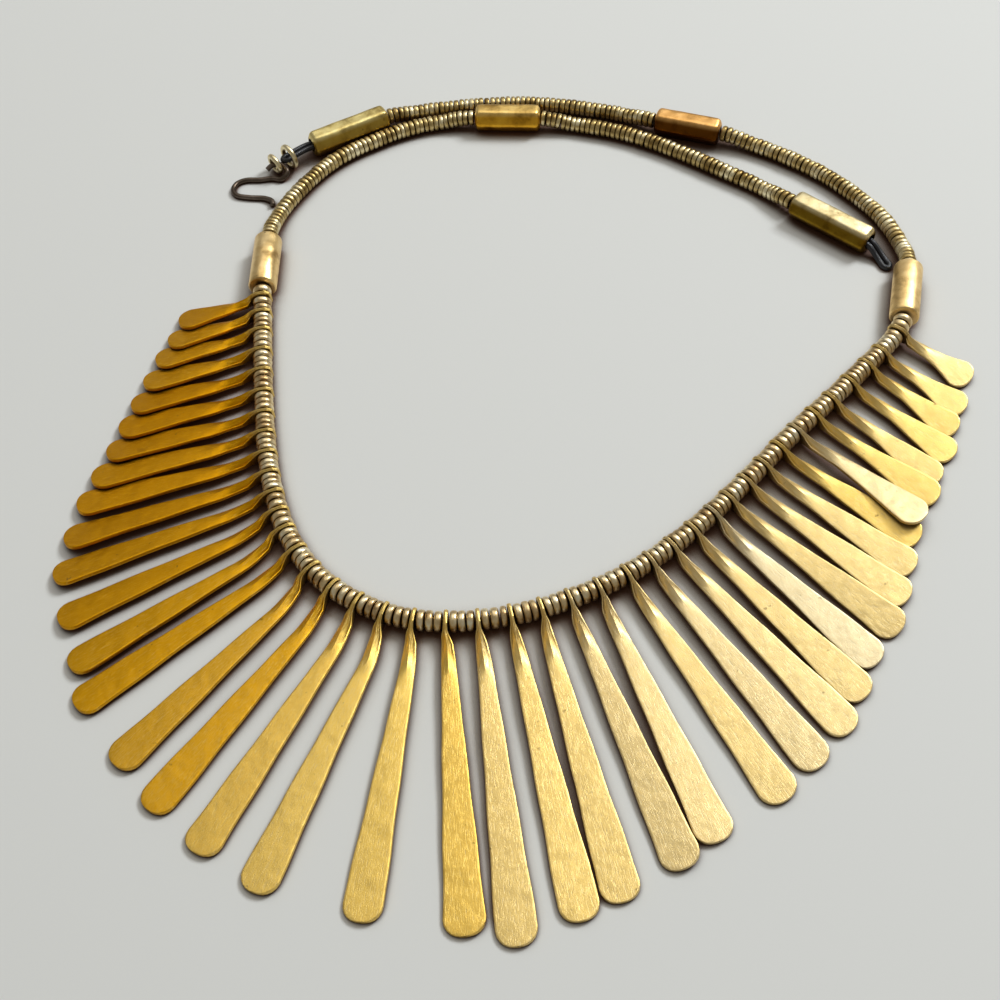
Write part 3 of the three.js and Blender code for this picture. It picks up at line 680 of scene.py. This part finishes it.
RIGHT_UPPER = [
    (34, 208.3), (28.2, 211.8), (22.8, 213.9), (17.2, 215.7), (9.7, 217.2), (0.2, 217.7), (-3.5, 217.6),
    (-9.3, 217.1), (-15.4, 215.6),
]
RIGHT_CORD = [
    (-29.4, 209.1, 2.25), (-30.9, 208.5, 2.25), (-32.5, 207.4, 2.3), (-33.9, 206.3, 2.3),
    (-34.8, 205.6, 2.3),
]


def moved_by(points, drift):
    return [(p[0] + drift.x, p[1] + drift.y, *p[2:]) for p in points]


def lay_strap(start, pieces):
    """What follows a barrel starts from its far end; gives the routes and how far the last one moved."""
    drift = Vector((0.0, 0.0))
    laid = []
    for route, barrel_length, clearance in pieces:
        following = moved_by(route, drift)[0]
        way = Vector((following[0] - start[0], following[1] - start[1]))
        drift = drift + way.normalized() * (BARREL_GAP + barrel_length + clearance - way.length)
        laid.append(moved_by(route, drift))
        start = laid[-1][-1]
    return laid, drift


left_strap, _ = lay_strap(FRONT_ROUTE[0], [
    (LEFT_LOWER, FRONT_BARREL["length"], STRING_SEAT),
    (LEFT_UPPER, MIDDLE_BARREL_LENGTH, STRING_SEAT),
    (LEFT_CORD, END_BARREL_LENGTH, -CORD_DEPTH),
])
right_strap, right_drift = lay_strap(FRONT_ROUTE[-1], [
    (RIGHT_LOWER, FRONT_BARREL["length"], STRING_SEAT),
    (RIGHT_UPPER, MIDDLE_BARREL_LENGTH, STRING_SEAT),
    (RIGHT_CORD, END_BARREL_LENGTH, -CORD_DEPTH),
])


def barrel_foot(start, towards, height):
    """The middle of a barrel's near end, just past the end of a string, and the barrel's level way."""
    way = Vector((towards[0] - start[0], towards[1] - start[1], 0)).normalized()
    return Vector((start[0], start[1], height)) + SHIFT + way * BARREL_GAP, way


def ring_uvs(radius, s, sides):
    return [(UV_SCALE * (2 * math.pi * i / sides) * radius, UV_SCALE * s) for i in range(sides)]


def round_barrel(name, start, towards):
    outer = FRONT_BARREL_RADIUS
    foot, way = barrel_foot(start, towards, outer)
    side, up = square_to(way)
    bore = FRONT_BARREL["bore"]
    ease = FRONT_BARREL["chamfer"]
    profile = [(0.0, bore), (0.0, bore + FRONT_BARREL["lip"]), (0.0, outer - ease)]
    profile += [(ease * (1 - math.cos(a)), outer - ease * (1 - math.sin(a))) for a in EASE_TURNS]
    profile += [(FRONT_BARREL["length"] - a, r) for a, r in reversed(profile)]
    verts = []
    uvs = []
    for a, r in profile:
        verts += round_ring(foot + way * a, side, up, r, BARREL_SIDES)
        uvs += ring_uvs(outer, a, BARREL_SIDES)
    faces = ring_faces(len(profile), BARREL_SIDES, closed=True)
    colours = [FRONT_GOLD] * len(verts)
    make_piece(
        name + "_tube", verts, faces, BARREL_BRASS, name, uvs,
        sharp=BARREL_CREASE, colours=colours,
    )


round_barrel("front_barrel_left", FRONT_ROUTE[0], left_strap[0][0])
round_barrel("front_barrel_right", FRONT_ROUTE[-1], right_strap[0][0])

# The strap strings.
# The same washers, duller and packed tight, on a thread from barrel to barrel along each strap.
STRAP_DISC_RADIUS = 1.45
STRAP_DISC_PITCH = 0.98
SIX_SIDED_FLATS = 4.5
SIX_SIDED_HEIGHT = SIX_SIDED_FLATS / 2
# Its last colour is that of the pits and of the painted shade between the discs.
STRAP_BRASS = brass(
    "strap_brass", [(0.2, 0.12, 0.03), (0.55, 0.41, 0.17), (1.0, 0.9, 0.6)],
    rough=0.36, bump=0.6, mottle=0.95, pit_and_shade_colour=(0.06, 0.035, 0.01),
)


def strap_string(place, points, start_height):
    """A string from a barrel whose bore is at the height given to a six-sided barrel."""
    route = Route(points)

    def height(s):
        return string_height(s, route.length, STRAP_DISC_RADIUS, start_height, SIX_SIDED_HEIGHT)

    verts = []
    faces = []
    end = route.length - END_TRIM
    disc_run(route, END_TRIM, end, height, STRAP_DISC_RADIUS, STRAP_DISC_PITCH, verts, faces)
    thread(route, END_TRIM, end, height, verts, faces)
    make_piece("strap_discs_" + place, verts, faces, STRAP_BRASS, "strap_string_" + place)


strap_string("left_lower", left_strap[0], FRONT_BARREL_RADIUS)
strap_string("left_upper", left_strap[1], SIX_SIDED_HEIGHT)
strap_string("right_lower", right_strap[0], FRONT_BARREL_RADIUS)
strap_string("right_upper", right_strap[1], SIX_SIDED_HEIGHT)

# The six-sided barrels.
# Bars of six-sided brass, drilled for the thread, their ends chamfered and all edges worn soft; the top
# facets are painted bright as lit and the lower ones painted dark as shaded.
FACETS = 6
FACET_STEPS = 10
EDGE_SOFTNESS = 0.119
SIX_SIDED_CUT = 0.6
SIX_SIDED_CHAMFER = 0.8
SIX_SIDED_LIP = 0.12
SIX_SIDED_CREASE = 35
BODY_SHARES = (0.2, 0.35, 0.5, 0.65, 0.8)
DENT_DEPTH = 0.05
DENT_RATE = 0.9
# The painted light of the top facets begins at this cosine of the angle from the top, and is full when it
# is so much more.
LIGHT_PAINT_FROM = 0.6
LIGHT_PAINT_OVER = 0.3
MIDDLE_BORE = 0.9
END_BORE = 1.35


def six_sided_barrel(name, start, towards, length, bore, lit_top_colour, shaded_side_colour):
    apothem = SIX_SIDED_HEIGHT
    foot, way = barrel_foot(start, towards, apothem)
    side, up = square_to(way)
    cut = SIX_SIDED_CUT
    chamfer = SIX_SIDED_CHAMFER
    # Place along the bar, its reach at the middle of a facet, and how far it is six-sided there.
    profile = [
        (0.0, bore, 0.0), (0.0, bore + SIX_SIDED_LIP, 0.0), (0.0, apothem - chamfer, 0.5),
        (0.25 * cut, apothem - 0.55 * chamfer, 0.8), (0.6 * cut, apothem - 0.2, 1.0),
        (cut, apothem - 0.06, 1.0), (cut + 0.35, apothem, 1.0),
    ]
    body = [(length * share, apothem, 1.0) for share in BODY_SHARES]
    profile += body + [(length - a, r, six) for a, r, six in reversed(profile)]
    around = FACETS * FACET_STEPS
    facet = 2 * math.pi / FACETS
    verts = []
    uvs = []
    colours = []
    for a, r, six in profile:
        dent = DENT_DEPTH * math.sin(a * DENT_RATE + bore * 7) * six
        corner = r / math.cos(facet / 2) - EDGE_SOFTNESS
        for i in range(around):
            angle = 2 * math.pi * (i + 0.5) / around
            from_middle = (angle + facet / 2) % facet - facet / 2
            reach = mix(r, min(r / math.cos(from_middle), corner), six)
            reach -= dent * math.cos(angle * 2 + a)
            point = foot + way * a + side * (reach * math.sin(angle)) + up * (reach * math.cos(angle))
            point.z = max(point.z, LEAST_HEIGHT)
            verts.append(point)
            uvs.append((UV_SCALE * angle * apothem, UV_SCALE * a))
            # Painted light and shade: facets that face up take the lit top colour, the rest the shaded
            # side colour.
            painted_light = smooth((math.cos(angle) - LIGHT_PAINT_FROM) / LIGHT_PAINT_OVER)
            colours.append([mix(dark, bright, painted_light) for dark, bright in zip(shaded_side_colour, lit_top_colour)])
    faces = [face[::-1] for face in ring_faces(len(profile), around, closed=True)]
    make_piece(
        name + "_bar", verts, faces, BARREL_BRASS, name, uvs,
        sharp=SIX_SIDED_CREASE, colours=colours,
    )


# Each bar lies after one string and before the next piece of its strap; its top colour is painted light on
# the upward facets and its side colour painted shade on the others.
SIX_SIDED_BARRELS = [
    {"name": "middle_barrel_left", "after": left_strap[0], "before": left_strap[1],
     "length": MIDDLE_BARREL_LENGTH, "bore": MIDDLE_BORE,
     "top": (0.96, 0.7, 0.26), "side": (0.86, 0.48, 0.04)},
    {"name": "end_barrel_left", "after": left_strap[1], "before": left_strap[2],
     "length": END_BARREL_LENGTH, "bore": END_BORE,
     "top": (0.95, 0.84, 0.52), "side": (0.26, 0.16, 0.014)},
    {"name": "middle_barrel_right", "after": right_strap[0], "before": right_strap[1],
     "length": MIDDLE_BARREL_LENGTH, "bore": MIDDLE_BORE,
     "top": (0.93, 0.55, 0.2), "side": (0.17, 0.06, 0.006)},
    {"name": "end_barrel_right", "after": right_strap[1], "before": right_strap[2],
     "length": END_BARREL_LENGTH, "bore": END_BORE,
     "top": (0.9, 0.78, 0.36), "side": (0.5, 0.34, 0.06)},
]
for bar in SIX_SIDED_BARRELS:
    start = bar["after"][-1]
    towards = bar["before"][0]
    six_sided_barrel(bar["name"], start, towards, bar["length"], bar["bore"], bar["top"], bar["side"])

# The black cord ends.
# A waxed black cord is doubled out of each end barrel; the left one's bend lies under the other strap.
CORD_RADIUS = 0.5
CORD_SPACING = 1.1
CORD_SIDES = 14
CORD_STEPS = 90
BEND_REACH = 0.55
CORD_BLACK = bpy.data.materials.new("black_cord")
CORD_BLACK.use_nodes = True
cord_tree = CORD_BLACK.node_tree
cord_shader = cord_tree.nodes["Principled BSDF"]
cord_shader.inputs["Base Color"].default_value = (0.012, 0.012, 0.015, 1)
cord_shader.inputs["Roughness"].default_value = 0.28
cord_weave = add_node(cord_tree, "ShaderNodeTexNoise", Scale=3500.0, Detail=2.0)
cord_relief = add_node(cord_tree, "ShaderNodeBump", Strength=0.3, Distance=0.0001)
cord_tree.links.new(cord_weave.outputs["Fac"], cord_relief.inputs["Height"])
cord_tree.links.new(cord_relief.outputs["Normal"], cord_shader.inputs["Normal"])


def swept(points, radius, sides, steps):
    """A round wire or cord along a smooth curve through points, with flat ends."""
    route = Route([p - SHIFT for p in points])
    verts = []
    uvs = []
    normal = UP
    for j in range(steps + 1):
        s = route.length * j / steps
        axis = route.along(s)
        normal = (normal - axis * normal.dot(axis)).normalized()
        verts += round_ring(route.at(s), normal, axis.cross(normal), radius, sides)
        uvs += ring_uvs(radius, s, sides)
    faces = turned_over(ring_faces(steps + 1, sides))
    faces.append(tuple(reversed(range(sides))))
    faces.append(tuple(range(steps * sides, (steps + 1) * sides)))
    return verts, faces, uvs


def doubled_cord(side_name, points):
    """A cord that goes out along one side of the points, bends, and comes back along the other."""
    middle = [Vector(p) + SHIFT for p in points]
    out = []
    back = []
    for i, point in enumerate(middle):
        a = middle[max(i - 1, 0)]
        b = middle[min(i + 1, len(middle) - 1)]
        side = Vector((a.y - b.y, b.x - a.x, 0)).normalized() * CORD_SPACING / 2
        out.append(point + side)
        back.insert(0, point - side)
    beyond = middle[-1] + (middle[-1] - middle[-2]).normalized() * BEND_REACH
    verts, faces, uvs = swept(out + [beyond] + back, CORD_RADIUS, CORD_SIDES, CORD_STEPS)
    name = "cord_strands_" + side_name
    make_piece(name, verts, faces, CORD_BLACK, "cord_loop_" + side_name, uvs)


doubled_cord("left", left_strap[2])
doubled_cord("right", right_strap[2])

# The rings and the hook.
# A pale wire ring holds the doubled cord, a second one links it to a hook bent from darkened wire.
RING_WIRE = 0.48
RING_SIDES = 14
RING_STEPS = 48
CRIMP_RING = {"at": (-34.1, 206.1), "heading": 218, "lean": 0, "radius": 1.9}
JUMP_RING = {"at": (-36.7, 204.6), "heading": 215, "lean": 6, "radius": 1.6}
HOOK_WIRE = 0.46
HOOK_SIDES = 16
HOOK_STEPS = 140
HOOK_ROUTE = [
    (-38.3, 203.9, 1.5), (-37.5, 204.4, 1.9), (-36.7, 204.6, 2), (-35.4, 204.4, 1.85),
    (-34.6, 203.1, 1.3), (-35.7, 202.1, 0.6), (-37.4, 202.6, 0.5), (-39.8, 202.5, 0.47),
    (-42.3, 202.7, 0.47), (-43.9, 202, 0.47), (-44.6, 200.5, 0.47), (-43.9, 198.8, 0.47),
    (-41.5, 197.9, 0.47), (-38.6, 197.3, 0.5), (-37.3, 196.3, 0.6), (-37.1, 195.2, 0.6),
]
RING_METAL = brass(
    "pale_wire", [(0.45, 0.34, 0.16), (0.82, 0.7, 0.42), (0.95, 0.88, 0.64)], rough=0.3, bump=0.2,
)
HOOK_METAL = brass(
    "dark_wire", [(0.035, 0.025, 0.018), (0.1, 0.075, 0.055), (0.3, 0.24, 0.2)], rough=0.34, bump=0.2,
)


def wire_ring(name, size):
    """A ring standing on the surface, turned to its heading and leaning a little."""
    lean = math.radians(size["lean"])
    radius = size["radius"]
    place = Vector((size["at"][0], size["at"][1], radius * math.cos(lean) + RING_WIRE))
    centre = place + SHIFT + right_drift.to_3d()
    heading = math.radians(size["heading"])
    turn = Matrix.Rotation(heading, 3, "Z") @ Matrix.Rotation(math.pi / 2 + lean, 3, "Y")
    verts = []
    for j in range(RING_STEPS):
        big = 2 * math.pi * j / RING_STEPS
        for i in range(RING_SIDES):
            small = 2 * math.pi * i / RING_SIDES
            r = radius + RING_WIRE * math.cos(small)
            point = Vector((r * math.cos(big), r * math.sin(big), RING_WIRE * math.sin(small)))
            verts.append(centre + turn @ point)
    faces = ring_faces(RING_STEPS, RING_SIDES, closed=True)
    make_piece(name + "_wire", verts, faces, RING_METAL, name)


wire_ring("crimp_ring", CRIMP_RING)
wire_ring("jump_ring", JUMP_RING)
hook_points = [Vector(p) + SHIFT for p in moved_by(HOOK_ROUTE, right_drift)]
hook_verts, hook_faces, hook_uvs = swept(hook_points, HOOK_WIRE, HOOK_SIDES, HOOK_STEPS)
make_piece("hook_wire", hook_verts, hook_faces, HOOK_METAL, "hook", hook_uvs)

# The floor, the light and the camera.
# A plain pale floor with a painted brown contact shadow close to the pieces, under soft studio light: a
# wide panel above and behind, a smaller key from the back right, and a warm grey world.
FLOOR_HALF = 3.0
FLOOR_PALE = (0.7, 0.705, 0.68, 1)
FLOOR_SHADE = (0.1, 0.042, 0.02, 1)
SHADE_REACH = 0.007
WORLD_COLOUR = (1.0, 0.965, 0.9, 1)
WORLD_STRENGTH = 0.26
floor_corners = [(x * FLOOR_HALF, y * FLOOR_HALF, 0) for x, y in ((-1, -1), (1, -1), (1, 1), (-1, 1))]
floor_mesh = bpy.data.meshes.new("floor")
floor_mesh.from_pydata(floor_corners, [], [(0, 1, 2, 3)])
floor = bpy.data.objects.new("floor", floor_mesh)
bpy.context.scene.collection.objects.link(floor)
floor_finish = bpy.data.materials.new("pale_floor")
floor_finish.use_nodes = True
floor_tree = floor_finish.node_tree
floor_shader = floor_tree.nodes["Principled BSDF"]
floor_shader.inputs["Roughness"].default_value = 0.7
# Painted contact shadow: the floor's colour turns brown where the pieces close over it.
nearness = add_node(floor_tree, "ShaderNodeAmbientOcclusion", {"samples": 16}, Distance=SHADE_REACH)
easing = {"interpolation_type": "SMOOTHSTEP"}
shade = add_node(floor_tree, "ShaderNodeMapRange", easing, From_Min=0.84, From_Max=0.36)
floor_tree.links.new(nearness.outputs["AO"], shade.inputs["Value"])
floor_colour = add_node(floor_tree, "ShaderNodeMix", {"data_type": "RGBA"}, A=FLOOR_PALE, B=FLOOR_SHADE)
floor_tree.links.new(shade.outputs["Result"], floor_colour.inputs["Factor"])
floor_tree.links.new(floor_colour.outputs["Result"], floor_shader.inputs["Base Color"])
floor_mesh.materials.append(floor_finish)

world = bpy.data.worlds.new("studio")
world.use_nodes = True
world.node_tree.nodes["Background"].inputs["Color"].default_value = WORLD_COLOUR
world.node_tree.nodes["Background"].inputs["Strength"].default_value = WORLD_STRENGTH
bpy.context.scene.world = world


def area_light(name, place, size, power, colour):
    """A panel of light, facing the middle of the necklace."""
    light = bpy.data.lights.new(name, "AREA")
    light.shape = "RECTANGLE"
    light.size, light.size_y = size
    light.energy = power
    light.color = colour
    lamp = bpy.data.objects.new(name, light)
    lamp.location = place
    lamp.rotation_euler = (-Vector(place)).to_track_quat("-Z", "Y").to_euler()
    bpy.context.scene.collection.objects.link(lamp)


area_light("key", (0.85, 0.62, 1.02), size=(0.4, 0.4), power=14.0, colour=(0.93, 0.97, 1.0))
area_light("back_panel", (0.06, 0.4, 0.8), size=(0.95, 0.86), power=2.6, colour=(1.0, 0.98, 0.95))

CAMERA_HEIGHT = 172.39
CAMERA_PITCH = math.radians(53.883)
CAMERA_ROLL = math.radians(-4.533)
CAMERA_LENS = 50.4
CAMERA_SENSOR = 36
camera_data = bpy.data.cameras.new("camera")
camera_data.sensor_width = CAMERA_SENSOR
camera_data.lens = CAMERA_LENS
camera_data.clip_start = 0.01
camera = bpy.data.objects.new("camera", camera_data)
level = Vector((1, 0, 0))
tilted_up = Vector((0, math.sin(CAMERA_PITCH), math.cos(CAMERA_PITCH)))
forward = Vector((0, math.cos(CAMERA_PITCH), -math.sin(CAMERA_PITCH)))
rightward = level * math.cos(CAMERA_ROLL) + tilted_up * math.sin(CAMERA_ROLL)
upward = tilted_up * math.cos(CAMERA_ROLL) - level * math.sin(CAMERA_ROLL)
turned = Matrix((rightward, upward, -forward)).transposed().to_4x4()
camera.matrix_world = Matrix.Translation((SHIFT + Vector((0, 0, CAMERA_HEIGHT))) * MM) @ turned
bpy.context.scene.collection.objects.link(camera)
bpy.context.scene.camera = camera
bpy.context.scene.view_settings.view_transform = "Standard"
